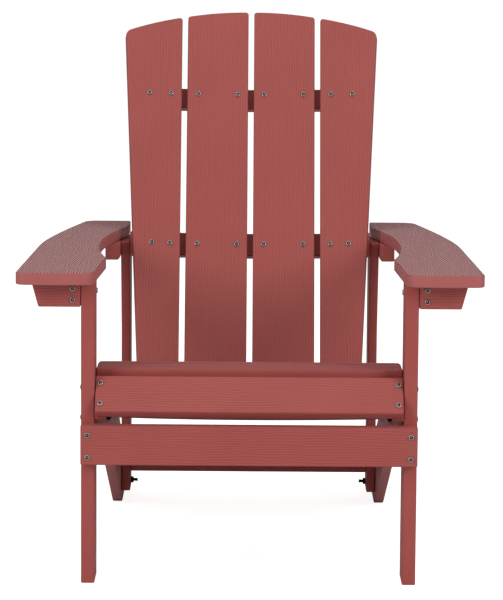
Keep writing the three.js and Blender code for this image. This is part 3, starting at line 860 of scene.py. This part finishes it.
for side_name, side in SIDES.items():
    low, high = corners_of("arm_bracket_" + side_name)
    inner = low[0] if side > 0 else high[0]
    reach, tall = high[0] - low[0], high[2] - low[2]
    shape = outline(mirrored([
        (0, 0, SAWN_CORNER),
        (BRACKET_FOOT, 0, BRACKET_CORNER),
        (reach, tall, SAWN_CORNER),
        (0, tall, SAWN_CORNER),
    ], side))
    place = np.array([inner, (low[1] + high[1]) / 2, low[2]])
    board("arm_bracket_" + side_name, shape, BOARD_THICK, place, ACROSS, UP, LUMBER)

    low, high = corners_of("front_cleat_" + side_name)
    board(
        "front_cleat_" + side_name, rectangle(high[1] - low[1], high[2] - low[2]),
        FRONT_CLEAT_WIDE, (low + high) / 2, BACKWARD, UP, LUMBER,
    )

    low, high = corners_of("rear_cleat_" + side_name)
    inner = low[0] if side > 0 else high[0]
    wide, tall = high[0] - low[0], high[2] - low[2]
    shape = outline(mirrored([
        (CHAMFER, 0),
        (wide, 0, SAWN_CORNER),
        (wide, tall, SAWN_CORNER),
        (0, tall, SAWN_CORNER),
        (0, CHAMFER),
    ], side))
    place = np.array([inner, (low[1] + high[1]) / 2, low[2]])
    board(
        "rear_cleat_" + side_name, shape, high[1] - low[1], place, ACROSS, UP, LUMBER
    )
    for level in ("upper", "lower"):
        bracket_screw = f"bracket_screw_{level}_{side_name}"
        fastener(bracket_screw, -BACKWARD, SCREW_PROFILE, SCREW_LONG, STAINLESS)
    fastener("cleat_screw_" + side_name, -side * ACROSS, SCREW_PROFILE, SCREW_LONG, STAINLESS)


# ---- Arms --------------------------------------------------------------------------------
# Broad flat arms, sawn to a curve that is full at the front and narrow behind. Their inner
# sides are hollowed where the sitter's elbow goes.

ARM_WIDTH = 125.0
ARM_SHOULDER = np.array([111.0, 365.0])
ARM_WAIST = np.array([106.0, 491.0])
ARM_TAIL = 80.0
ARM_INSIDE = -30.5
ARM_INSIDE_LONG = 89.0
ARM_ELBOW = np.array([-11.0, 190.0])
ARM_HOLLOW = 28.0
ARM_FRONT_INNER_ROUND = 22.0
ARM_FRONT_OUTER_ROUND = 15.0
ARM_TAIL_ROUND = 25.0
ARM_TAIL_ROOM = 40.0
ARM_REAR_INNER_ROUND = 4.0
LEG_INSIDE = 250.0
ARM_GRAIN_TURN = 4.5


def bow(start, end, depth):
    """The arc between two points that bows out to the left of its way by a depth:
    its radius is way^2 / (8 depth) + depth / 2."""
    way = end - start
    long = np.linalg.norm(way)
    radius = long**2 / (8 * depth) + depth / 2
    left = np.array([-way[1], way[0]]) / long
    middle = (start + end) / 2 + left * (depth - radius)
    half = math.asin(long / 2 / radius)
    heading = math.atan2(left[1], left[0])
    return arc(*middle, radius, heading + half, heading - half, 48)


# The same lumber, embossed deeper on the wide boards that the arms are cut from. The crests of
# its grain are painted pale, a painted highlight, and its hollows painted dark, a painted shade.
ARM_LUMBER = plastic_lumber("red_HDPE_lumber_deep_grain", 1.0, 1.0, 0.12, 0.6, "#DAA9A8")

low, high = corners_of("arm_left")
arm_front, arm_rear = low[1] - FACE, high[1] - FACE
share = np.linspace(0, 1, 41)[:, None]
tail = np.array([ARM_INSIDE + ARM_TAIL, arm_rear])
outer = ARM_SHOULDER * (1 - share) ** 2 + ARM_WAIST * 2 * share * (1 - share) + tail * share**2
inside = bow(np.array([ARM_INSIDE, arm_rear - ARM_INSIDE_LONG]), ARM_ELBOW, ARM_HOLLOW)
arm_corners = [
    (0, arm_front, ARM_FRONT_INNER_ROUND),
    (ARM_WIDTH, arm_front, ARM_FRONT_OUTER_ROUND),
    *outer[outer[:, 1] < arm_rear - ARM_TAIL_ROOM],
    (*tail, ARM_TAIL_ROUND),
    (ARM_INSIDE, arm_rear, ARM_REAR_INNER_ROUND),
    *inside,
]
for side_name, side in SIDES.items():
    low, high = corners_of("arm_" + side_name)
    shape = outline(mirrored([(LEG_INSIDE + x, *rest) for x, *rest in arm_corners], side))
    place = np.array([0, FACE, (low[2] + high[2]) / 2])
    board(
        "arm_" + side_name, shape, BOARD_THICK, place, ACROSS, BACKWARD, ARM_LUMBER,
        grain=90 + side * ARM_GRAIN_TURN,
    )
